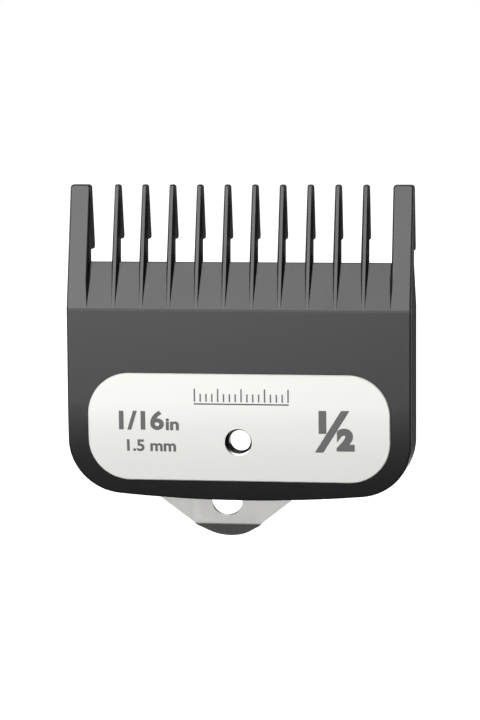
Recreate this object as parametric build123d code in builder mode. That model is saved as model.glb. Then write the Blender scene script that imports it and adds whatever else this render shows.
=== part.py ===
from build123d import *
from math import asin, degrees, radians, sin, sqrt, tan
import os

# Clipper guard comb, in millimetres. +X is to the right of the label, +Y runs from the label face
# to the open back, +Z runs from the clip to the tooth tips. The origin is on the rivet's axis, in
# the plane where the clip's pad lies on the moulding. Depths are measured from the label face.

# Moulding: outline and walls
body_width = 50.0
body_depth = 7.6  # label face to the rear rim of the side walls
face_height = 28.0  # lower edge to the crease where the teeth begin
corner_radius = 8.0
crown_radius = 194.0  # the lower edge is a very shallow arc
edge_radius = 0.35
wall = 2.2
side_wall = 1.6
rim_wall = 1.6  # rim that turns the lower corners, behind the face

# Moulding: the label face is flat above, and rolls back towards the lower edge
roll_radius = 57.0
roll_height = 14.0  # height over the lower edge where the roll starts

# Moulding: blade pocket
seat_depth = 4.0  # plane that the blade lies on
ledge_width = 2.5
rib_width = 1.0
rib_place = 15.5
web_height = 6.45
web_step = 1.0  # how far the tooth ridges stand out of the web at its top

# Moulding: teeth and end rails
tooth_count = 10
tooth_pitch = 4.02
tooth_length = 17.6
tooth_lean = 13.2  # degrees that the ridges lean back
ridge_width = 0.42
flank_depth = 0.9
root_width = 1.3
tip_width = 0.96
heel_width = 0.86
tip_flat = 1.1
tip_radius = 0.33  # front and back of each tip
tip_corner = 0.4  # left and right of each tip
lobe_depth = 5.0  # from ridge to the back of the hook behind each tip
lobe_radius = 0.5
lobe_length = 7.9  # from the tip down to the hook's step
rail_lobe_length = 9.4
rail_width = 3.0
rail_corner = 0.5
ejector_mark = 2.6
ejector_depth = 0.1
ejector_pitch = 16.08
same_place = 0.04  # edges nearer to each other than this are on one line

# Label plate and its film
plate_width = 43.9
plate_height = 15.7
plate_corner = 6.0
plate_low = 2.95  # lower edge of the plate over the lower edge of the moulding
plate_thickness = 0.5
film_thickness = 0.12
film_inset = 0.4
plate_proud = 0.15
plate_bevel = 0.13
plate_gap = 0.1  # all round, between the plate and its recess
plate_hole = 3.96

# Hollow rivet
rivet_height = 8.75  # axis over the lower edge of the moulding
rivet_bore = 3.1
rivet_wall = 0.35
rivet_flange = 6.0
flange_thickness = 0.4
mouth_radius = 0.6  # the flange is turned out of the tube, so its mouth is a wide curve
rivet_roll = 5.4
roll_thickness = 0.6
roll_round = 0.27
rivet_gap = 0.05
flange_gap = 0.15

# Spring clip
sheet = 0.5
pad_depth = 2.2
pad_width = 10.8  # pad and neck are one straight strip
pad_height = 8.0
pad_low = 5.4  # lower end of the pad over the lower edge of the moulding
pad_corner = 2.0
flex_height = 2.9  # line where the strip bends, over the lower edge of the moulding
flex_depth = 3.45
bend_radius = 0.7
tab_shift = -2.3  # the tab is set to one side of the rivet
tab_top_width = 24.0
tab_fold_width = 9.5
tab_tip_width = 3.4
tab_tip_radius = 1.6
tab_rise = 5.8  # from the lip's fold up to where the tab has its full width
tab_drop = 3.95  # fold of the lip, below the lower edge of the moulding
tab_lean = 14.0  # degrees
lip_length = 3.0
lip_lean = 50.0
tab_hole = 4.5
tab_hole_drop = 0.4
catch_width = 3.6
catch_place = 9.8
catch_rise = 0.1
blade_thickness = 3.0
nose_height = 1.2
flex_gap = 0.12
clip_gap = 0.1
tab_play = 0.4  # to the left and right of the tab

# Places that follow from the sizes
half = body_width / 2
bottom = -rivet_height
crease = bottom + face_height
roll_start = bottom + roll_height
web_top = crease + web_height
tip = crease + tooth_length
inner_half = half - side_wall
core_half = inner_half - ledge_width
pocket_low = bottom + rim_wall
crown_drop = crown_radius - sqrt(crown_radius**2 - half**2)
plate_middle = bottom + plate_low + plate_height / 2
recess_floor = plate_thickness + film_thickness - plate_proud
beyond = 20.0  # how far cutting solids run past what they cut


def side_plane(x=0.0):
    """Plane across the comb: its first axis is depth behind the label face, its second is Z."""
    return Plane(origin=(x, -pad_depth, 0), x_dir=(0, 1, 0), z_dir=(1, 0, 0))


def face_plane(depth, x=0.0):
    """Plane parallel to the label face, seen from in front; extrusions to the back are negative."""
    return Plane(origin=(x, depth - pad_depth, 0), x_dir=(1, 0, 0), z_dir=(0, -1, 0))


def level_plane(z):
    """Level plane at height z: its second axis is depth behind the label face."""
    return Plane(origin=(0, -pad_depth, z))


def ridge(z):
    """Depth of the tooth ridges at height z."""
    return (z - crease) * tan(radians(tooth_lean))


def roll_turn(z, depth):
    """Degrees round the roll at which the label face, moved in by depth, reaches height z."""
    return degrees(asin((roll_start - z) / (roll_radius - depth)))


def roll_depth(z, depth):
    """Depth at height z, on the roll, of the label face moved in by depth."""
    return roll_radius - sqrt((roll_radius - depth) ** 2 - (roll_start - z) ** 2)


def strip_edges(outer, inner, low, high):
    """Side outline between two depths of the label face, from height low to height high."""
    with BuildLine() as outline:
        front = Line((outer, high), (outer, roll_start))
        front_roll = CenterArc(
            (roll_radius, roll_start), roll_radius - outer, 180, roll_turn(low, outer)
        )
        back = Line((inner, high), (inner, roll_start))
        back_roll = CenterArc(
            (roll_radius, roll_start), roll_radius - inner, 180, roll_turn(low, inner)
        )
        Line(front @ 0, back @ 0)
        Line(front_roll @ 1, back_roll @ 1)
    return outline.edges()


def hook_edges(step_length):
    """Side outline of a tooth or rail whose hook ends step_length below the tip."""
    step = tip - step_length
    root = crease - web_height / 2
    with BuildLine() as outline:
        Polyline(
            (0, root),
            (0, crease),
            (ridge(tip), tip),
            (ridge(tip) + tip_flat, tip),
            (ridge(step) + lobe_depth, step),
            (seat_depth, step),
            (seat_depth, root),
            close=True,
        )
    return outline.edges()


def tray_edges(half_width, low, high):
    """Front outline with straight sides and a crowned lower edge."""
    with BuildLine() as outline:
        Polyline(
            (-half_width, low + crown_drop),
            (-half_width, high),
            (half_width, high),
            (half_width, low + crown_drop),
        )
        ThreePointArc((-half_width, low + crown_drop), (0, low), (half_width, low + crown_drop))
    return outline.edges()


# Tooth: a blade-like bar with a narrow ridge, leaning back, with the hook behind its tip
with BuildPart() as tooth:
    for height, width in ((crease - web_height / 2, root_width), (tip, tip_width)):
        with BuildSketch(level_plane(height)):
            with BuildLine():
                Polyline(
                    (-ridge_width / 2, ridge(height)),
                    (ridge_width / 2, ridge(height)),
                    (width / 2, ridge(height) + flank_depth),
                    (heel_width / 2, ridge(height) + seat_depth),
                    (heel_width / 2, ridge(height) + beyond),
                    (-heel_width / 2, ridge(height) + beyond),
                    (-heel_width / 2, ridge(height) + seat_depth),
                    (-width / 2, ridge(height) + flank_depth),
                    close=True,
                )
            make_face()
    loft(ruled=True)
    with BuildSketch(side_plane()) as side:
        make_face(hook_edges(lobe_length))
        fillet(side.vertices().group_by(Axis.Y)[-1], tip_radius)
        fillet(side.vertices().sort_by(Axis.X)[-1], lobe_radius)
    extrude(amount=root_width, both=True, mode=Mode.INTERSECT)
    with BuildSketch(face_plane(0)) as front:
        with BuildLine():
            Polyline(
                (-root_width / 2, crease - web_height),
                (root_width / 2, crease - web_height),
                (tip_width / 2, tip),
                (-tip_width / 2, tip),
                close=True,
            )
        make_face()
        fillet(front.vertices().group_by(Axis.Y)[-1], tip_corner)
    extrude(amount=beyond, both=True, mode=Mode.INTERSECT)

# End rail: a flat-fronted bar as wide as it is deep, with a longer hook than the teeth's
with BuildPart() as rail:
    with BuildSketch(side_plane(half - rail_width / 2)) as side:
        make_face(hook_edges(rail_lobe_length))
        fillet(side.vertices().group_by(Axis.Y)[-1], tip_radius)
        fillet(side.vertices().sort_by(Axis.X)[-1], lobe_radius)
    extrude(amount=rail_width / 2, both=True)
    with BuildSketch(face_plane(0, half - rail_width / 2)) as front:
        with Locations((0, tip - tooth_length)):
            Rectangle(rail_width, 2 * tooth_length)
        fillet(front.vertices().group_by(Axis.Y)[-1], rail_corner)
    extrude(amount=beyond, both=True, mode=Mode.INTERSECT)

# Space that the label plate's recess takes out of the moulding
with BuildPart() as plate_space:
    with BuildSketch(side_plane()):
        make_face(strip_edges(-beyond / 2, recess_floor, bottom, crease))
    extrude(amount=half, both=True)
    with BuildSketch(face_plane(0)):
        with Locations((0, plate_middle)):
            RectangleRounded(
                plate_width + 2 * plate_gap, plate_height + 2 * plate_gap, plate_corner + plate_gap
            )
    extrude(amount=beyond, both=True, mode=Mode.INTERSECT)

# Comb moulding
with BuildPart() as comb_body:
    # Block with the front outline: straight sides, rounded lower corners, crowned lower edge
    with BuildSketch(face_plane(0)) as outline:
        make_face(tray_edges(half, bottom, crease))
        fillet(outline.vertices().group_by(Axis.Y)[0], corner_radius)
    extrude(amount=-body_depth)

    # The label face rolls back below, and the rear rim is flat
    with BuildSketch(side_plane()):
        make_face(strip_edges(0, body_depth + wall, bottom, crease))
    extrude(amount=half, both=True, mode=Mode.INTERSECT)

    # Side walls carried up behind the rails, sloping down to the rails' own depth
    for side in (-1, 1):
        with BuildSketch(side_plane(side * (half - side_wall / 2))):
            with BuildLine():
                Polyline(
                    (0, crease),
                    (body_depth, crease),
                    (seat_depth, web_top),
                    (ridge(web_top), web_top),
                    close=True,
                )
            make_face()
        extrude(amount=side_wall / 2, both=True)

    # End rails, right and left
    add(rail.part)
    add(mirror(rail.part, about=Plane.YZ, mode=Mode.PRIVATE))

    # Web between the teeth, from the crease to its straight top edge
    with BuildSketch(side_plane()):
        with BuildLine():
            Polyline(
                (0, crease - web_height),
                (0, crease),
                (ridge(web_top) + web_step, web_top),
                (seat_depth, web_top),
                (seat_depth, crease - web_height),
                close=True,
            )
        make_face()
    extrude(amount=half - rail_width / 2, both=True)

    # Ten teeth
    with GridLocations(tooth_pitch, 0, tooth_count, 1):
        add(tooth.part)

    # Pocket: the blade lies on the seat plane between the side walls
    with BuildSketch(face_plane(seat_depth)) as pocket:
        make_face(tray_edges(inner_half, pocket_low, web_top))
        fillet(pocket.vertices().group_by(Axis.Y)[0], corner_radius - side_wall)
    extrude(amount=-beyond, mode=Mode.SUBTRACT)

    # Core below the seat plane: it leaves the front wall, the side ledges and the seat at the web
    with BuildSketch(side_plane()):
        make_face(strip_edges(wall, seat_depth + wall, pocket_low, crease - ledge_width))
    extrude(amount=core_half, both=True, mode=Mode.SUBTRACT)
    for side in (-1, 1):
        with BuildSketch(side_plane(side * rib_place)):
            make_face(strip_edges(wall / 2, seat_depth, roll_start - rib_width, crease - wall))
        extrude(amount=rib_width / 2, both=True)

    # Shallow marks where the mould's ejector pins pushed the moulding out
    with BuildSketch(face_plane(seat_depth - ejector_depth)):
        with GridLocations(ejector_pitch, 0, 3, 1):
            with Locations((0, crease)):
                Circle(ejector_mark / 2)
    extrude(amount=-beyond, mode=Mode.SUBTRACT)

    # Way out for the clip's tab, through the rim and along the inside of the front wall
    tab_way = tab_top_width / 2 + abs(tab_shift) + tab_play
    flex_front = flex_depth - sheet / 2 - clip_gap
    with BuildSketch(side_plane()):
        with BuildLine():
            Polyline(
                (flex_front, bottom - wall),
                (flex_front, bottom + flex_height),
                (seat_depth, bottom + flex_height + seat_depth - flex_front),
                (beyond, bottom + flex_height + seat_depth - flex_front),
                (beyond, bottom - wall),
                close=True,
            )
        make_face()
    extrude(amount=tab_way, both=True, mode=Mode.SUBTRACT)

    # Channel for the clip's pad and neck
    with BuildSketch(side_plane()):
        with BuildLine():
            Polyline(
                (pad_depth, bottom + pad_low + pad_height + clip_gap),
                (pad_depth, bottom + pad_low - sheet / 2),
                (flex_front, bottom + flex_height),
                (flex_front + beyond, bottom + flex_height),
                (pad_depth + beyond, bottom + pad_low + pad_height + clip_gap),
                close=True,
            )
        make_face()
    extrude(amount=pad_width / 2 + clip_gap, both=True, mode=Mode.SUBTRACT)

    # Recess for the plate, counterbore for the rivet's flange, hole for its shank
    add(plate_space.part, mode=Mode.SUBTRACT)
    flange_front = roll_depth(-rivet_flange / 2, recess_floor) + rivet_gap
    flange_back = flange_front + flange_thickness
    with BuildSketch(face_plane(flange_back)):
        Circle(rivet_flange / 2 + flange_gap)
    extrude(amount=beyond, mode=Mode.SUBTRACT)
    with BuildSketch(face_plane(0)):
        Circle(rivet_bore / 2 + rivet_wall + rivet_gap)
    extrude(amount=-beyond, mode=Mode.SUBTRACT)

    # Softened edges: right round the label face and up the rails
    long_edges = comb_body.edges().filter_by(lambda edge: edge.length > rail_width)
    front_edges = long_edges.filter_by(lambda edge: (edge @ 0.5).Y < ridge(tip) - pad_depth)
    upright_edges = front_edges.filter_by(Axis.Y, reverse=True).filter_by(Axis.X, reverse=True)
    outer_edges = upright_edges.filter_by(
        lambda edge: abs(abs((edge @ 0.5).X) - half) < same_place
    )
    rail_in = half - rail_width
    inner_edges = upright_edges.filter_by(
        lambda edge: abs(abs((edge @ 0.5).X) - rail_in) < same_place and (edge @ 0.5).Z > crease
    )
    fillet(outer_edges + inner_edges, edge_radius)

# Label plate: sheet metal formed to the label face
with BuildPart() as label_plate:
    with BuildSketch(side_plane()):
        make_face(strip_edges(-plate_proud, plate_thickness - plate_proud, bottom, crease))
    extrude(amount=half, both=True)
    with BuildSketch(face_plane(0)):
        with Locations((0, plate_middle)):
            RectangleRounded(plate_width, plate_height, plate_corner)
        Circle(plate_hole / 2, mode=Mode.SUBTRACT)
    extrude(amount=beyond, both=True, mode=Mode.INTERSECT)
    front_faces = label_plate.faces().sort_by(Axis.Y)[:2]
    front_rim = front_faces.edges().filter_by(Axis.X, reverse=True)
    plate_reach = plate_height / 2 - plate_corner / 2
    level_rim = front_faces.edges().filter_by(
        lambda edge: abs((edge @ 0.5).Z - plate_middle) > plate_reach
    )
    chamfer(front_rim + level_rim, plate_bevel)

# Adhesive film under the plate, open round the rivet's flange
with BuildPart() as plate_adhesive:
    with BuildSketch(side_plane()):
        make_face(strip_edges(plate_thickness - plate_proud, recess_floor, bottom, crease))
    extrude(amount=half, both=True)
    with BuildSketch(face_plane(0)):
        with Locations((0, plate_middle)):
            RectangleRounded(
                plate_width - 2 * film_inset, plate_height - 2 * film_inset, plate_corner - film_inset
            )
        Circle(rivet_flange / 2 + 2 * flange_gap, mode=Mode.SUBTRACT)
    extrude(amount=beyond, both=True, mode=Mode.INTERSECT)

# Hollow rivet: flange in the counterbore, shank through moulding and pad, end rolled over the pad
with BuildPart() as hollow_rivet:
    bore = rivet_bore / 2
    shank = bore + rivet_wall
    with BuildSketch(level_plane(0)) as section:
        with BuildLine():
            Polyline(
                (bore, flange_front),
                (rivet_flange / 2, flange_front),
                (rivet_flange / 2, flange_back),
                (shank, flange_back),
                (shank, pad_depth + sheet),
                (rivet_roll / 2, pad_depth + sheet),
                (rivet_roll / 2, pad_depth + sheet + roll_thickness),
                (bore, pad_depth + sheet + roll_thickness),
                close=True,
            )
        make_face()
        fillet(section.vertices().sort_by(Axis.Y)[:2].sort_by(Axis.X)[0], mouth_radius)
        fillet(section.vertices().group_by(Axis.Y)[-1], roll_round)
    revolve(axis=Axis.Y)

# Clip, fixed end: the riveted pad and the neck down to the line where the strip bends
with BuildPart() as clip_base:
    pad_middle = pad_depth + sheet / 2
    pad_top = bottom + pad_low + pad_height
    with BuildLine() as path:
        FilletPolyline(
            (0, pad_middle - pad_depth, pad_top),
            (0, pad_middle - pad_depth, bottom + pad_low),
            (0, flex_depth - pad_depth, bottom + flex_height),
            radius=bend_radius,
        )
    with BuildSketch(Plane(origin=path.line @ 0, x_dir=(1, 0, 0), z_dir=path.line % 0)):
        Rectangle(pad_width, sheet)
    sweep(path=path.line)
    with BuildSketch(face_plane(0)):
        with Locations((0, pad_top - pad_height / 2)):
            RectangleRounded(pad_width, pad_height, pad_corner)
        with Locations((0, pad_top - pad_height)):
            Rectangle(pad_width, 2 * (pad_low - flex_height - flex_gap / 2))
        Circle(shank + rivet_gap, mode=Mode.SUBTRACT)
    extrude(amount=beyond, both=True, mode=Mode.INTERSECT)

# Clip, moving end: the tab with its hole and bent lip, and the two catches behind the blade's heel
with BuildPart() as clip_tongue:
    flex_y = flex_depth - pad_depth
    flex_z = bottom + flex_height
    fold_z = bottom - tab_drop
    fold_y = flex_y + (flex_z - fold_z) * tan(radians(tab_lean))
    lip_z = fold_z - lip_length * sin(radians(90 - lip_lean))
    lip_y = fold_y + lip_length * sin(radians(lip_lean))
    with BuildLine() as path:
        FilletPolyline(
            (0, flex_y, flex_z),
            (0, fold_y, fold_z),
            (0, lip_y, lip_z),
            radius=bend_radius,
        )
    with BuildSketch(Plane(origin=path.line @ 0, x_dir=(1, 0, 0), z_dir=path.line % 0)):
        with Locations((tab_shift, 0)):
            Rectangle(tab_top_width, sheet)
    sweep(path=path.line)
    with BuildSketch(face_plane(0, tab_shift)) as shape:
        with BuildLine():
            Polyline(
                (-tab_top_width / 2, flex_z - flex_gap / 2),
                (tab_top_width / 2, flex_z - flex_gap / 2),
                (tab_top_width / 2, fold_z + tab_rise),
                (tab_fold_width / 2, fold_z),
                (tab_tip_width / 2, lip_z),
                (-tab_tip_width / 2, lip_z),
                (-tab_fold_width / 2, fold_z),
                (-tab_top_width / 2, fold_z + tab_rise),
                close=True,
            )
        make_face()
        fillet(shape.vertices().group_by(Axis.Y)[0], tab_tip_radius)
        with Locations((0, bottom - tab_hole_drop)):
            Circle(tab_hole / 2, mode=Mode.SUBTRACT)
    extrude(amount=beyond, both=True, mode=Mode.INTERSECT)
    for side in (-1, 1):
        catch_x = tab_shift + side * catch_place
        catch_z = flex_z + catch_rise
        nose_y = seat_depth + blade_thickness + clip_gap + sheet / 2 - pad_depth
        root_z = catch_z - 2 * bend_radius
        with BuildLine() as path:
            FilletPolyline(
                (catch_x, flex_y + (flex_z - root_z) * tan(radians(tab_lean)), root_z),
                (catch_x, flex_y - (catch_z - flex_z) * tan(radians(tab_lean)), catch_z),
                (catch_x, nose_y, catch_z),
                (catch_x, nose_y, catch_z + nose_height),
                radius=bend_radius - sheet / 2,
            )
        with BuildSketch(Plane(origin=path.line @ 0, x_dir=(1, 0, 0), z_dir=path.line % 0)):
            Rectangle(catch_width, sheet)
        sweep(path=path.line)

os.makedirs("parts", exist_ok=True)
for piece, name in (
    (comb_body, "comb_body"),
    (label_plate, "label_plate"),
    (plate_adhesive, "plate_adhesive"),
    (hollow_rivet, "hollow_rivet"),
    (clip_base, "clip_base"),
    (clip_tongue, "clip_tongue"),
):
    piece.part.label = name
    export_step(piece.part, f"parts/{name}.step")
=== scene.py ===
from math import copysign, pi, radians, sqrt

import bmesh
import bpy
from mathutils import Matrix, Vector


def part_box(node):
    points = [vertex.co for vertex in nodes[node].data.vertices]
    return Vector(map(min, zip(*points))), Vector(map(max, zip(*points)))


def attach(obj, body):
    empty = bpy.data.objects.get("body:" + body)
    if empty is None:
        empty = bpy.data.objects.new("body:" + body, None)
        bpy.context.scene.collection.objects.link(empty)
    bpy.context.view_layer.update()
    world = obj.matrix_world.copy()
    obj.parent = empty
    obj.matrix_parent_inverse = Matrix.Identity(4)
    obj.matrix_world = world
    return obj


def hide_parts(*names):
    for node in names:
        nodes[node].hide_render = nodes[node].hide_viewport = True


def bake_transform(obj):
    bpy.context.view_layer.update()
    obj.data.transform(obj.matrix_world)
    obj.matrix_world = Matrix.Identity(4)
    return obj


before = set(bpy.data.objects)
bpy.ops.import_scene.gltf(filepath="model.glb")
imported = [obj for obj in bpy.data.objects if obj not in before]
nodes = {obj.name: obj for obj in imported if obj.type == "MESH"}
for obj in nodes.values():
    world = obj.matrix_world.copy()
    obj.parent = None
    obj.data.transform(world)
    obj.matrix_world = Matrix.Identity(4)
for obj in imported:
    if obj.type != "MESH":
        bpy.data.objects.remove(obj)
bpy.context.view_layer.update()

mm = 0.001

# --- Camera -----------------------------------------------------------------------------
# A long lens about 0.4 m in front of the label, a little to the right and above. It has no shift
# and no blur, so that every other view is framed in the same way.

focal_length = 142.2
sensor_width = 36.0
viewpoint = (62.4 * mm, -402.2 * mm, 58.65 * mm)
look_up, roll, look_left = radians(83.42), radians(0.4), radians(8.77)

camera_data = bpy.data.cameras.new("camera")
camera_data.lens = focal_length
camera_data.sensor_width = sensor_width
camera = bpy.data.objects.new("camera", camera_data)
camera.location = viewpoint
camera.rotation_euler = (look_up, roll, look_left)
bpy.context.collection.objects.link(camera)
bpy.context.scene.camera = camera

# --- Comb moulding ----------------------------------------------------------------------
# The toothed tray that holds the blade. Black glass-filled nylon, injection moulded in one shot
# from a finely sparked mould, so it is satin, with a trace of flow and softly rubbed edges.

grain_size = 0.09 * mm
grain_depth = 0.006 * mm
rubbed_width = 0.09 * mm
crease = 19.25 * mm
# A lighter band just below the crease is painted highlight, where the rounded crease would catch
# the light
crease_highlight_middle = crease - 0.15 * mm
crease_highlight_reach, crease_highlight_fade = 0.12 * mm, 0.26 * mm
nylon_dark, nylon_light = (0.008, 0.008, 0.0085, 1), (0.012, 0.012, 0.012, 1)
nylon_rubbed = (0.06, 0.06, 0.058, 1)
# Colour of the painted highlight along the crease
nylon_painted_highlight = (0.055, 0.055, 0.053, 1)
dust_colour = (0.35, 0.33, 0.3, 1)
rubbed_strength, dust_strength, crease_highlight_strength = 0.25, 0.06, 0.5
nylon_gloss, nylon_matt = 0.33, 0.40
rubbed_gloss = -0.08


def add_node(tree, kind, settings=None, **inputs):
    """Adds a shader node; inputs are values or the sockets to link from."""
    node = tree.nodes.new("ShaderNode" + kind)
    for name, value in (settings or {}).items():
        setattr(node, name, value)
    for name, value in inputs.items():
        join(tree, value, node.inputs[name.replace("_", " ")])
    return node


def join(tree, value, socket):
    """Links a socket to a socket, or sets its value."""
    if isinstance(value, bpy.types.NodeSocket):
        tree.links.new(value, socket)
    else:
        socket.default_value = value


def maths(tree, operation, first, second=0.0, clamp=False):
    """Result of a Math node."""
    node = add_node(tree, "Math", {"operation": operation, "use_clamp": clamp})
    join(tree, first, node.inputs[0])
    join(tree, second, node.inputs[1])
    return node.outputs[0]


def mixed(tree, mask, plain, changed):
    """Colour that goes from plain to changed with the mask."""
    node = add_node(tree, "MixRGB", Fac=mask)
    join(tree, plain, node.inputs["Color1"])
    join(tree, changed, node.inputs["Color2"])
    return node.outputs["Color"]


def spread(tree, value, low, high):
    """A 0 to 1 value spread between low and high."""
    return add_node(tree, "MapRange", Value=value, To_Min=low, To_Max=high).outputs["Result"]


def surface(tree):
    """Object coordinates, which stay with the piece."""
    return add_node(tree, "TexCoord").outputs["Object"]


def patches(tree, size, **settings):
    """Noise with patches of that size, a socket in metres."""
    scale = maths(tree, "DIVIDE", 1.0, size)
    return add_node(tree, "TexNoise", Vector=surface(tree), Scale=scale, **settings).outputs["Fac"]


def ramp(tree, value, zero, full):
    """0 to 1 as the value goes from zero to full."""
    return add_node(tree, "MapRange", Value=value, From_Min=zero, From_Max=full).outputs["Result"]


def start_group(name, inputs, outputs):
    """An empty node group, its input node and its output node."""
    tree = bpy.data.node_groups.new(name, "ShaderNodeTree")
    for label, kind in inputs:
        tree.interface.new_socket(name=label, in_out="INPUT", socket_type="NodeSocket" + kind)
    for label in outputs:
        tree.interface.new_socket(name=label, in_out="OUTPUT", socket_type="NodeSocketFloat")
    return tree, tree.nodes.new("NodeGroupInput"), tree.nodes.new("NodeGroupOutput")


def place_group(tree, group, **inputs):
    """Puts a node group in a material, with its values."""
    node = tree.nodes.new("ShaderNodeGroup")
    node.node_tree = group
    for name, value in inputs.items():
        join(tree, value, node.inputs[name.replace("_", " ")])
    return node


def start_material(name, **settings):
    """A new material: its node tree and its Principled shader, with the constant values set."""
    material = bpy.data.materials.new(name)
    material.use_nodes = True
    shader = material.node_tree.nodes["Principled BSDF"]
    for label, value in settings.items():
        shader.inputs[label.replace("_", " ")].default_value = value
    return material, material.node_tree, shader


def relief(tree, height, depth):
    """Normal of a surface with that relief, depth in metres."""
    bump = add_node(tree, "Bump", Height=height, Distance=depth)
    return bump.outputs["Normal"]


# Fine grain all over, and slow patches where the melt cooled differently
sizes = (("Grain", "Float"), ("Patch", "Float"))
grain, ins, outs = start_group("fine_grain", sizes, ("Height", "Tone"))
fine = patches(grain, ins.outputs["Grain"], Detail=3.0, Roughness=0.6)
slow = patches(grain, ins.outputs["Patch"], Detail=2.0, Distortion=0.6)
grain.links.new(fine, outs.inputs["Height"])
grain.links.new(slow, outs.inputs["Tone"])

# Rubbed edges: where the rounded normal leaves the true one, broken up by noise
edge_begins, edge_full = 0.97, 0.75
unbroken_below, rubbed_above = 0.35, 0.65
sizes = (("Width", "Float"), ("Patch", "Float"))
edges, ins, outs = start_group("rubbed_edges", sizes, ("Mask",))
true_normal = add_node(edges, "NewGeometry").outputs["Normal"]
rounded = add_node(edges, "Bevel", {"samples": 6}, Radius=ins.outputs["Width"]).outputs["Normal"]
agree = add_node(edges, "VectorMath", {"operation": "DOT_PRODUCT"})
edges.links.new(true_normal, agree.inputs[0])
edges.links.new(rounded, agree.inputs[1])
turned = ramp(edges, agree.outputs["Value"], edge_begins, edge_full)
noise = patches(edges, ins.outputs["Patch"], Detail=4.0)
broken = ramp(edges, noise, unbroken_below, rubbed_above)
edges.links.new(maths(edges, "MULTIPLY", turned, broken), outs.inputs["Mask"])

# Dust: a thin film on what faces up, gathered in specks
steepest, level = 0.3, 1.0
clear_below, dusty_above = 0.45, 0.75
dust, ins, outs = start_group("settled_dust", (("Speck", "Float"),), ("Mask",))
facing = add_node(dust, "NewGeometry").outputs["Normal"]
upward = add_node(dust, "SeparateXYZ", Vector=facing).outputs["Z"]
lying = ramp(dust, upward, steepest, level)
noise = patches(dust, ins.outputs["Speck"], Detail=5.0)
gathered = ramp(dust, noise, clear_below, dusty_above)
dust.links.new(maths(dust, "MULTIPLY", lying, gathered), outs.inputs["Mask"])

nylon, tree, shader = start_material("black_nylon", Specular_IOR_Level=0.55)
texture = place_group(tree, grain, Grain=grain_size, Patch=7 * mm)
worn = place_group(tree, edges, Width=rubbed_width, Patch=1.2 * mm)
film_of_dust = place_group(tree, dust, Speck=0.35 * mm)
colour = mixed(tree, texture.outputs["Tone"], nylon_dark, nylon_light)
rubbed = maths(tree, "MULTIPLY", worn.outputs["Mask"], rubbed_strength)
colour = mixed(tree, rubbed, colour, nylon_rubbed)
dusty = maths(tree, "MULTIPLY", film_of_dust.outputs["Mask"], dust_strength)
colour = mixed(tree, dusty, colour, dust_colour)
# Painted highlight: the colour is lightened in a narrow band along the crease
height = add_node(tree, "SeparateXYZ", Vector=surface(tree)).outputs["Z"]
from_crease_highlight = maths(tree, "ABSOLUTE", maths(tree, "SUBTRACT", height, crease_highlight_middle))
near_crease_highlight = ramp(tree, from_crease_highlight, crease_highlight_fade, crease_highlight_reach)
painted_highlight = maths(tree, "MULTIPLY", near_crease_highlight, crease_highlight_strength)
colour = mixed(tree, painted_highlight, colour, nylon_painted_highlight)
join(tree, colour, shader.inputs["Base Color"])
sheen_of_wear = maths(tree, "MULTIPLY", worn.outputs["Mask"], rubbed_gloss)
moulded = spread(tree, texture.outputs["Tone"], nylon_gloss, nylon_matt)
rough = maths(tree, "ADD", moulded, sheen_of_wear)
join(tree, rough, shader.inputs["Roughness"])
join(tree, relief(tree, texture.outputs["Height"], grain_depth), shader.inputs["Normal"])


def coat_node(name, material):
    """Gives a CAD node its material."""
    nodes[name].data.materials.clear()
    nodes[name].data.materials.append(material)


coat_node("comb_body", nylon)

# --- Adhesive film ----------------------------------------------------------------------
# Double-sided acrylic tape, die-cut a little smaller than the label plate and pressed into the
# recess. It is milky and slightly yellow, with small trapped bubbles.

bubbles_per_metre = 1400.0
bubble_depth = 0.01 * mm
bubble_inside, bubble_outside = 0.12, 0.3
tape_gloss, tape_matt = 0.45, 0.6
tape_yellow, tape_white = (0.72, 0.70, 0.60, 1), (0.80, 0.78, 0.70, 1)

tape, tree, shader = start_material("milky_tape", Specular_IOR_Level=0.3, Subsurface_Weight=0.2)
shader.inputs["Subsurface Radius"].default_value = (0.4 * mm, 0.35 * mm, 0.25 * mm)
texture = place_group(tree, grain, Grain=0.3 * mm, Patch=4 * mm)
bubbles = add_node(tree, "TexVoronoi", Vector=surface(tree), Scale=bubbles_per_metre)
bubble_rim = ramp(tree, bubbles.outputs["Distance"], bubble_inside, bubble_outside)
colour = mixed(tree, texture.outputs["Tone"], tape_yellow, tape_white)
join(tree, colour, shader.inputs["Base Color"])
rough = spread(tree, texture.outputs["Height"], tape_gloss, tape_matt)
join(tree, rough, shader.inputs["Roughness"])
join(tree, relief(tree, bubble_rim, bubble_depth), shader.inputs["Normal"])
coat_node("plate_adhesive", tape)

# --- Label plate ------------------------------------------------------------------------
# Half-millimetre aluminium, blanked with a coined bevel and formed to the roll of the moulding.
# It is finished in a satin silver lacquer with faint lengthwise brushing under it.

# Brushing: long fine lines along one direction, with slow streaks
scales = (("Lines", "Vector"), ("Streaks", "Vector"))
brushing, ins, outs = start_group("brushed_lines", scales, ("Height", "Tone"))
for source, target, detail in (("Lines", "Height", 2.0), ("Streaks", "Tone", 3.0)):
    stretched = add_node(brushing, "Mapping", Vector=surface(brushing), Scale=ins.outputs[source])
    across_lines = stretched.outputs["Vector"]
    lines = add_node(brushing, "TexNoise", Vector=across_lines, Scale=1.0, Detail=detail)
    brushing.links.new(lines.outputs["Fac"], outs.inputs[target])

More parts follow.
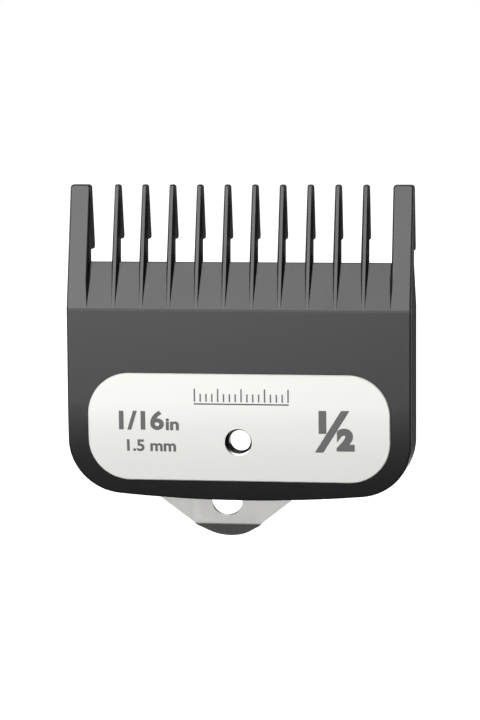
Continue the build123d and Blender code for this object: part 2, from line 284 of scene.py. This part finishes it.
silver_dark, silver_light = (0.655, 0.66, 0.63, 1), (0.685, 0.69, 0.66, 1)
silver_rubbed = (0.80, 0.80, 0.79, 1)
bevel_strength = 0.5
silver_gloss, silver_matt = 0.40, 0.47
brush_depth = 0.002 * mm
lacquer = {"Metallic": 0.15, "Coat_Weight": 0.1, "Coat_Roughness": 0.3}
silver, tree, shader = start_material("satin_silver", **lacquer)
lines = place_group(tree, brushing, Lines=(90, 1500, 14000), Streaks=(25, 200, 600))
texture = place_group(tree, grain, Grain=0.06 * mm, Patch=9 * mm)
worn = place_group(tree, edges, Width=0.12 * mm, Patch=2 * mm)
colour = mixed(tree, lines.outputs["Tone"], silver_dark, silver_light)
rubbed = maths(tree, "MULTIPLY", worn.outputs["Mask"], bevel_strength)
colour = mixed(tree, rubbed, colour, silver_rubbed)
join(tree, colour, shader.inputs["Base Color"])
rough = spread(tree, texture.outputs["Tone"], silver_gloss, silver_matt)
join(tree, rough, shader.inputs["Roughness"])
join(tree, relief(tree, lines.outputs["Height"], brush_depth), shader.inputs["Normal"])
coat_node("label_plate", silver)

# --- Printed marks ----------------------------------------------------------------------
# Grey ink, screen printed on the plate and a few hundredths thick: the length that the guard
# leaves in inches and millimetres, its number, and a small row of scale ticks.

ink_thickness = 0.02 * mm
ink_sunk = 0.01 * mm
roll_radius = 57.15 * mm
roll_start = 5.25 * mm
plate_face = -2.35 * mm
roll_centre = plate_face + roll_radius
label_step = 0.5 * mm
ink_sharp = radians(20)


def link_piece(name, bm, material, sharp):
    """Makes the mesh an object with one material, smooth up to the sharp angle."""
    bmesh.ops.recalc_face_normals(bm, faces=bm.faces)
    mesh = bpy.data.meshes.new(name)
    bm.to_mesh(mesh)
    bm.free()
    for face in mesh.polygons:
        face.use_smooth = True
    mesh.set_sharp_from_angle(angle=sharp)
    mesh.materials.append(material)
    piece = bpy.data.objects.new(name, mesh)
    bpy.context.collection.objects.link(piece)
    return piece


def cut_level(bm, height):
    """Cuts the mesh at that height and keeps both sides."""
    everything = bm.verts[:] + bm.edges[:] + bm.faces[:]
    bmesh.ops.bisect_plane(bm, geom=everything, plane_co=(0, 0, height), plane_no=(0, 0, 1))


def plate_depth(height):
    """Where the front of the plate is at that height."""
    if height > roll_start:
        return plate_face
    return roll_centre - sqrt(roll_radius**2 - (roll_start - height) ** 2)


def print_mark(name, bm, material):
    """Lays a flat upright mesh on the plate and gives it the ink's thickness."""
    heights = [vert.co.z for vert in bm.verts]
    level = min(heights) + label_step
    while level < max(heights):
        cut_level(bm, level)
        level += label_step
    for vert in bm.verts:
        vert.co.y = plate_depth(vert.co.z) + ink_sunk
    front = bmesh.ops.extrude_face_region(bm, geom=bm.faces[:])
    lifted = [item for item in front["geom"] if isinstance(item, bmesh.types.BMVert)]
    bmesh.ops.translate(bm, vec=(0, -ink_sunk - ink_thickness, 0), verts=lifted)
    piece = link_piece(name, bm, material, ink_sharp)
    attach(piece, "comb")
    return piece


def lettering(words, left, base, width, height, weight):
    """Upright flat mesh of the words in a box from its lower left corner, in metres."""
    curve = bpy.data.curves.new("lettering", "FONT")
    curve.body = words
    curve.offset = weight
    curve.resolution_u = 6
    text = bpy.data.objects.new("lettering", curve)
    bpy.context.collection.objects.link(text)
    bpy.context.view_layer.update()
    evaluated = text.evaluated_get(bpy.context.evaluated_depsgraph_get())
    mesh = bpy.data.meshes.new_from_object(evaluated)
    bm = bmesh.new()
    bm.from_mesh(mesh)
    bpy.data.objects.remove(text)
    bpy.data.curves.remove(curve)
    bpy.data.meshes.remove(mesh)
    bmesh.ops.remove_doubles(bm, verts=bm.verts, dist=1e-5)
    low_x, high_x = min(v.co.x for v in bm.verts), max(v.co.x for v in bm.verts)
    low_y, high_y = min(v.co.y for v in bm.verts), max(v.co.y for v in bm.verts)
    size = (width / (high_x - low_x), height / (high_y - low_y), 1)
    bmesh.ops.translate(bm, vec=(-low_x, -low_y, 0), verts=bm.verts)
    bmesh.ops.scale(bm, vec=size, verts=bm.verts)
    bmesh.ops.rotate(bm, matrix=Matrix.Rotation(pi / 2, 3, "X"), verts=bm.verts)
    bmesh.ops.translate(bm, vec=(left, 0, base), verts=bm.verts)
    return bm


ink_dark, ink_light = (0.10, 0.10, 0.10, 1), (0.12, 0.12, 0.12, 1)
ink_gloss, ink_matt = 0.5, 0.65
ink_relief = 0.004 * mm
ink, tree, shader = start_material("grey_ink", Specular_IOR_Level=0.3)
texture = place_group(tree, grain, Grain=0.12 * mm, Patch=2.5 * mm)
colour = mixed(tree, texture.outputs["Tone"], ink_dark, ink_light)
join(tree, colour, shader.inputs["Base Color"])
rough = spread(tree, texture.outputs["Height"], ink_gloss, ink_matt)
join(tree, rough, shader.inputs["Roughness"])
join(tree, relief(tree, texture.outputs["Height"], ink_relief), shader.inputs["Normal"])

# Words, then left edge, base line, width and height in millimetres, and weight of the letters
marks = []
for name, words, left, base, width, height, weight in (
    ("mark_inch", "1/16", -17.4, 1.65, 6.6, 2.85, 0.035),
    ("mark_inch_unit", "in", -10.55, 1.65, 1.95, 1.75, 0.035),
    ("mark_metric", "1.5 mm", -16.3, -1.5, 7.2, 1.75, 0.03),
    ("mark_number", "½", 11.1, -1.3, 5.75, 6.1, 0.04),
):
    flat = lettering(words, left * mm, base * mm, width * mm, height * mm, weight)
    marks.append(print_mark(name, flat, ink))

# Scale ticks: a row of hairlines on a base line, every fourth one long
tick_count = 17
tick_pitch = 0.85 * mm
tick_width = 0.21 * mm
tick_base = 5.45 * mm
long_tick, short_tick = 1.9 * mm, 1.15 * mm
row_middle = 0.5 * mm
row_length = (tick_count - 1) * tick_pitch


def print_bar(bm, middle, base, width, height):
    """Adds an upright flat bar, standing on its base."""
    bar = bmesh.ops.create_grid(bm, x_segments=1, y_segments=1, size=0.5)["verts"]
    bmesh.ops.rotate(bm, matrix=Matrix.Rotation(pi / 2, 3, "X"), verts=bar)
    bmesh.ops.scale(bm, vec=(width, 1, height), verts=bar)
    bmesh.ops.translate(bm, vec=(middle, 0, base + height / 2), verts=bar)


bm = bmesh.new()
for number in range(tick_count):
    tall = long_tick if number % 4 == 0 else short_tick
    middle = row_middle + number * tick_pitch - row_length / 2
    print_bar(bm, middle, tick_base + tick_width * 2, tick_width, tall)
print_bar(bm, row_middle, tick_base, row_length + tick_width, tick_width)
marks.append(print_mark("mark_scale", bm, ink))

# --- Hollow rivet -----------------------------------------------------------------------
# Nickel-plated brass tube rivet. Its formed flange sits in the counterbore behind the plate, and
# its other end is rolled over the clip's pad. Inside the bore and on the two sides of the mouth
# the colour is darkened to near black: painted shade.

bore = 1.55 * mm
shank = 1.9 * mm
flange = 3.0 * mm
roll_over = 2.7 * mm
roll_thickness = 0.6 * mm
pad_back = 0.5 * mm
flange_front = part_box("hollow_rivet")[0][1]
flange_back = flange_front + 0.4 * mm
mouth_radius = 0.6 * mm
rim_radius = 0.08 * mm
foot_radius = 0.05 * mm
roll_outside, roll_inside = 0.3 * mm, 0.26 * mm
turns = 96
rivet_sharp = radians(35)

bm = bmesh.new()
section = [
    bm.verts.new(corner)
    for corner in (
        (bore, flange_front, 0),
        (flange, flange_front, 0),
        (flange, flange_back, 0),
        (shank, flange_back, 0),
        (shank, pad_back, 0),
        (roll_over, pad_back, 0),
        (roll_over, pad_back + roll_thickness, 0),
        (bore, pad_back + roll_thickness, 0),
    )
]
bm.faces.new(section)
for corner, radius, steps in (
    (section[0], mouth_radius, 14),
    (section[1], rim_radius, 3),
    (section[2], rim_radius, 3),
    (section[5], foot_radius, 2),
    (section[6], roll_outside, 8),
    (section[7], roll_inside, 8),
):
    bmesh.ops.bevel(
        bm,
        geom=[corner],
        offset=radius,
        segments=steps,
        profile=0.5,
        affect="VERTICES",
        material=-1,
    )
bmesh.ops.delete(bm, geom=bm.faces[:], context="FACES_ONLY")
bmesh.ops.spin(
    bm,
    geom=bm.verts[:] + bm.edges[:],
    cent=(0, 0, 0),
    axis=(0, 1, 0),
    angle=2 * pi,
    steps=turns,
    use_merge=True,
)
bmesh.ops.remove_doubles(bm, verts=bm.verts, dist=1e-7)

# Painted shade: the colour goes near black inside the bore and on the two sides of the mouth
unshaded_from, shaded_to = 2.0 * mm, 1.6 * mm
window_edge = (2.15 * mm, 2.05 * mm)
side_begins, side_full = 1.0 * mm, 1.65 * mm
nickel_dark, nickel_light = (0.60, 0.585, 0.56, 1), (0.68, 0.665, 0.64, 1)
painted_shade_colour = (0.012, 0.012, 0.012, 1)
painted_shade_strength = 0.96
nickel_gloss, nickel_matt = 0.2, 0.3
plating_depth = 0.002 * mm

nickel, tree, shader = start_material("nickel_with_painted_shade", Metallic=1.0)
texture = place_group(tree, grain, Grain=0.2 * mm, Patch=1.5 * mm)
# The masks below darken the colour inside the bore and at the sides of the mouth, as painted shade
apart = add_node(tree, "SeparateXYZ", Vector=surface(tree))
aside = maths(tree, "POWER", apart.outputs["X"], 2.0)
above = maths(tree, "POWER", apart.outputs["Z"], 2.0)
outward = maths(tree, "SQRT", maths(tree, "ADD", aside, above))
inside = ramp(tree, outward, unshaded_from, shaded_to)
window = ramp(tree, outward, *window_edge)
across = maths(tree, "ABSOLUTE", apart.outputs["X"])
sides = maths(tree, "MULTIPLY", ramp(tree, across, side_begins, side_full), window)
painted_shade_mask = maths(tree, "MAXIMUM", inside, sides)
painted_shade_amount = maths(tree, "MULTIPLY", painted_shade_mask, painted_shade_strength)
colour = mixed(tree, texture.outputs["Tone"], nickel_dark, nickel_light)
colour = mixed(tree, painted_shade_amount, colour, painted_shade_colour)
join(tree, colour, shader.inputs["Base Color"])
rough = spread(tree, texture.outputs["Height"], nickel_gloss, nickel_matt)
join(tree, rough, shader.inputs["Roughness"])
join(tree, relief(tree, texture.outputs["Height"], plating_depth), shader.inputs["Normal"])
rivet = link_piece("tube_rivet", bm, nickel, rivet_sharp)
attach(rivet, "comb")
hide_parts("hollow_rivet")

# --- Spring clip ------------------------------------------------------------------------
# One blank of half-millimetre spring stainless: a riveted pad, a neck that bends, a tab with a
# hole and a turned-up lip for the thumb, and two ears folded back to catch the blade's heel.

sheet = 0.5 * mm
bend_radius = 0.7 * mm
ear_radius = 0.45 * mm
rivet_hole = 1.95 * mm
tab_hole = 2.25 * mm
tab_middle = -2.3 * mm
tab_hole_height = -9.44 * mm
shoulder = -6.6
ear_top = -1.35

# Flat blank, clockwise from the pad's upper left corner, in millimetres: across, up, and how far
# the corner is rounded back
blank = (
    (-5.4, 4.65, 2.0),
    (5.4, 4.65, 2.0),
    (5.4, shoulder, 0.12),
    (5.7, shoulder, 0.12),
    (5.7, ear_top, 0.5),
    (9.3, ear_top, 0.5),
    (9.3, shoulder, 0.12),
    (9.7, shoulder, 0.15),
    (9.7, -7.15, 0.25),
    (2.45, -13.1, 1.2),
    (-0.6, -16.1, 1.5),
    (-4.0, -16.1, 1.5),
    (-7.05, -13.1, 1.2),
    (-14.3, -7.15, 0.25),
    (-14.3, shoulder, 0.15),
    (-13.9, shoulder, 0.12),
    (-13.9, ear_top, 0.5),
    (-10.3, ear_top, 0.5),
    (-10.3, shoulder, 0.3),
    (-5.4, shoulder, 0.3),
)
bm = bmesh.new()
corners = [bm.verts.new((across * mm, 0, up * mm)) for across, up, _ in blank]
bm.faces.new(corners)
for corner, (_, _, setback) in zip(corners, blank):
    bmesh.ops.bevel(
        bm,
        geom=[corner],
        offset=setback * mm,
        segments=8,
        profile=0.5,
        affect="VERTICES",
        material=-1,
    )
bmesh.ops.delete(bm, geom=bm.faces[:], context="FACES_ONLY")
holes = ((rivet_hole, 0, 0), (tab_hole, tab_middle, tab_hole_height))
for radius, across, up in holes:
    ring = bmesh.ops.create_circle(bm, segments=72, radius=radius, cap_ends=False)["verts"]
    bmesh.ops.rotate(bm, matrix=Matrix.Rotation(pi / 2, 3, "X"), verts=ring)
    bmesh.ops.translate(bm, vec=(across, 0, up), verts=ring)
bmesh.ops.triangle_fill(bm, edges=bm.edges[:], use_beauty=True, normal=(0, -1, 0))


def fold(points, line, way, angle, radius, whole=()):
    """Folds the points past the line, above it (way 1) or below it (way -1).

    An angle over 0 folds to the back. The whole points turn by the full angle wherever they are.
    """
    for vert in points:
        past = (vert.co.z - line) * way
        if vert in whole:
            turn = angle
        elif past > 0:
            turn = copysign(min(past / radius, abs(angle)), angle)
        else:
            continue
        centre = Vector((0, copysign(radius, angle), line))
        vert.co.z -= way * abs(turn) * radius
        vert.co = centre + Matrix.Rotation(-way * turn, 3, "X") @ (vert.co - centre)


ear_root, ear_angle = -6.52 * mm, radians(104)
ear_nose, nose_angle = -2.80 * mm, radians(90)
lip_line, lip_angle = -12.87 * mm, radians(36)
flex_line, flex_angle = -5.99 * mm, radians(7.8)
neck_line, neck_angle = -3.215 * mm, radians(21.8)
ear_inside = 7.95 * mm
for line, way, angle, radius, steps in (
    (ear_root, 1, ear_angle, ear_radius, 12),
    (ear_nose, 1, nose_angle, ear_radius, 12),
    (lip_line, -1, lip_angle, bend_radius, 8),
    (flex_line, -1, flex_angle, bend_radius, 2),
    (neck_line, -1, neck_angle, bend_radius, 5),
):
    for step in range(steps + 1):
        cut_level(bm, line + way * radius * angle * step / steps)
ears = {
    vert
    for vert in bm.verts
    if vert.co.z > ear_root - 0.01 * mm and abs(vert.co.x - tab_middle) > ear_inside
}
fold(ears, ear_nose, 1, -nose_angle, ear_radius)
fold(ears, ear_root, 1, ear_angle, ear_radius)
fold(bm.verts, lip_line, -1, lip_angle, bend_radius)
fold(bm.verts, flex_line, -1, -flex_angle, bend_radius, whole=ears)
fold(bm.verts, neck_line, -1, neck_angle, bend_radius)
bmesh.ops.translate(bm, vec=(0, sheet / 2, 0), verts=bm.verts)
bmesh.ops.recalc_face_normals(bm, faces=bm.faces)
bm.normal_update()
for vert in bm.verts:
    vert.co += vert.normal * (sheet / 2)
bmesh.ops.solidify(bm, geom=bm.faces[:], thickness=sheet)
bmesh.ops.recalc_face_normals(bm, faces=bm.faces)

# The blanked edges are deburred all round
sheared = radians(60)
deburr = 0.06 * mm
clip_sharp = radians(12)
rim = [edge for edge in bm.edges if edge.is_manifold and edge.calc_face_angle() > sheared]
bmesh.ops.bevel(
    bm,
    geom=rim,
    offset=deburr,
    segments=2,
    profile=0.5,
    affect="EDGES",
    clamp_overlap=True,
    material=-1,
)

steel_dark, steel_light = (0.58, 0.575, 0.565, 1), (0.68, 0.675, 0.66, 1)
steel_rubbed = (0.8, 0.8, 0.79, 1)
deburred_strength = 0.5
steel_gloss, steel_matt = 0.32, 0.44
rolling_depth = 0.004 * mm
steel, tree, shader = start_material("brushed_steel", Metallic=1.0)
lines = place_group(tree, brushing, Lines=(14000, 2500, 120), Streaks=(900, 300, 40))
texture = place_group(tree, grain, Grain=0.25 * mm, Patch=3 * mm)
worn = place_group(tree, edges, Width=0.1 * mm, Patch=1.5 * mm)
colour = mixed(tree, lines.outputs["Tone"], steel_dark, steel_light)
rubbed = maths(tree, "MULTIPLY", worn.outputs["Mask"], deburred_strength)
colour = mixed(tree, rubbed, colour, steel_rubbed)
join(tree, colour, shader.inputs["Base Color"])
rough = spread(tree, texture.outputs["Tone"], steel_gloss, steel_matt)
join(tree, rough, shader.inputs["Roughness"])
join(tree, relief(tree, lines.outputs["Height"], rolling_depth), shader.inputs["Normal"])
clip = link_piece("spring_clip", bm, steel, clip_sharp)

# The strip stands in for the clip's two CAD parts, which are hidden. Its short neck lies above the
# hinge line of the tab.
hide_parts("clip_base", "clip_tongue")
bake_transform(clip)

# --- Studio -----------------------------------------------------------------------------
# A white sweep. One big soft box stands in front, and one high behind. The other lights are linked:
# the key and the cards to the metal, the low back light and the side lights to the moulding, so
# that black nylon and bright steel can both be read.

floor_height = -40 * mm
floor_reach = 6.0
near_glow, glow_begins, glow_full = 0.7, 0.08, 0.5
world_light, world_seen = 0.06, 1.0
sweep_dark, sweep_light = (0.93, 0.93, 0.93, 1), (0.95, 0.95, 0.95, 1)
aim = Vector((0, 0, 12 * mm))

mesh = bpy.data.meshes.new("floor")
bm = bmesh.new()
bmesh.ops.create_grid(bm, x_segments=1, y_segments=1, size=floor_reach)
bmesh.ops.translate(bm, vec=(0, 0, floor_height), verts=bm.verts)
bm.to_mesh(mesh)
bm.free()
floor = bpy.data.objects.new("floor", mesh)
bpy.context.collection.objects.link(floor)
floor.visible_diffuse = False
floor.visible_glossy = False
floor.visible_shadow = False
sweep, tree, shader = start_material("white_sweep", Roughness=1.0, Specular_IOR_Level=0.0)
texture = place_group(tree, grain, Grain=1 * mm, Patch=60 * mm)
colour = mixed(tree, texture.outputs["Tone"], sweep_dark, sweep_light)
join(tree, colour, shader.inputs["Base Color"])
shader.inputs["Emission Color"].default_value = (1, 1, 1, 1)
away = add_node(tree, "VectorMath", {"operation": "LENGTH"})
tree.links.new(surface(tree), away.inputs[0])
spreading = ramp(tree, away.outputs["Value"], glow_begins, glow_full)
join(tree, spread(tree, spreading, near_glow, 1.0), shader.inputs["Emission Strength"])
floor.data.materials.append(sweep)

world = bpy.data.worlds.new("studio")
bpy.context.scene.world = world
world.use_nodes = True
tree = world.node_tree
backdrop = tree.nodes["Background"]
backdrop.inputs["Color"].default_value = (1, 1, 1, 1)
seen = add_node(tree, "LightPath").outputs["Is Camera Ray"]
join(tree, spread(tree, seen, world_light, world_seen), backdrop.inputs["Strength"])
bpy.context.scene.view_settings.view_transform = "Standard"

metal = bpy.data.collections.new("metal_pieces")
plastic = bpy.data.collections.new("plastic_pieces")
plastic.objects.link(nodes["comb_body"])
for piece in [clip, rivet, nodes["label_plate"], *marks]:
    metal.objects.link(piece)

# Where each light stands and its size in metres, its power in watts, and what it is linked to
for name, stand, size, power, only in (
    ("key", (-0.15, -0.42, 0.66), (0.6, 0.4), 0.8, metal),
    ("front", (-0.19, -0.52, 0.235), (0.58, 0.57), 5.6, None),
    ("card", (-0.12, -0.55, -0.42), (0.5, 0.3), 0.6, metal),
    ("back_high", (0.1, 0.45, 0.8), (0.8, 0.4), 4.0, None),
    ("back_low", (0.0, 0.7, -0.47), (1.8, 0.3), 10.0, plastic),
    ("back_card", (0.0, 0.7, -0.35), (1.8, 0.7), 4.0, metal),
    ("left", (-0.9, 0.3, 0.1), (0.3, 0.6), 3.0, plastic),
    ("right", (0.9, 0.3, 0.1), (0.3, 0.6), 3.0, plastic),
):
    data = bpy.data.lights.new(name, "AREA")
    data.shape = "RECTANGLE"
    data.size, data.size_y = size
    data.energy = power
    lamp = bpy.data.objects.new(name, data)
    lamp.location = stand
    lamp.rotation_euler = (aim - Vector(stand)).to_track_quat("-Z", "Y").to_euler()
    lamp.visible_camera = False
    if only:
        lamp.light_linking.receiver_collection = only
    bpy.context.collection.objects.link(lamp)
